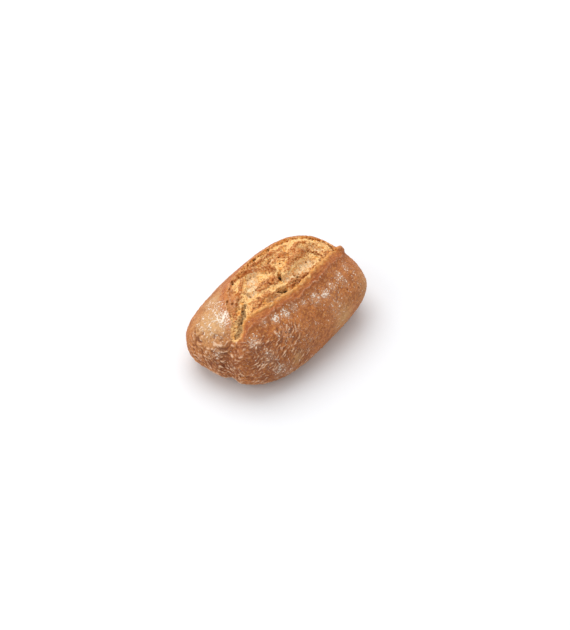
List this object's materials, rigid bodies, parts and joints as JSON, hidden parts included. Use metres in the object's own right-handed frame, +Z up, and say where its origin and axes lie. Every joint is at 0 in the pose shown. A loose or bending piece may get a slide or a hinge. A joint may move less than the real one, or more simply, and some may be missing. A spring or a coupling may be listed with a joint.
{
  "type": "bread roll",
  "caption": "Oblong rustic wholegrain bread roll, slashed along the top and baked open, with a raised lip, torn golden crumb and a floured brown crust. Rests on its flat base.",
  "frame": {"origin": "bottom centre of the roll's box, on the flat spot it rests on", "axes": "+X along the roll from the end with the pinched seam to the end where the slash stops blunt, -Y towards the flank under the raised lip, +Z up"},
  "size_m": [0.12, 0.073, 0.05],
  "materials": {
    "crust": "dry matte baked crust, brown with pale flour, and torn golden crumb along the top"
  },
  "bodies": {
    "root": {"bread_roll": "crust"}
  },
  "joints": []
}
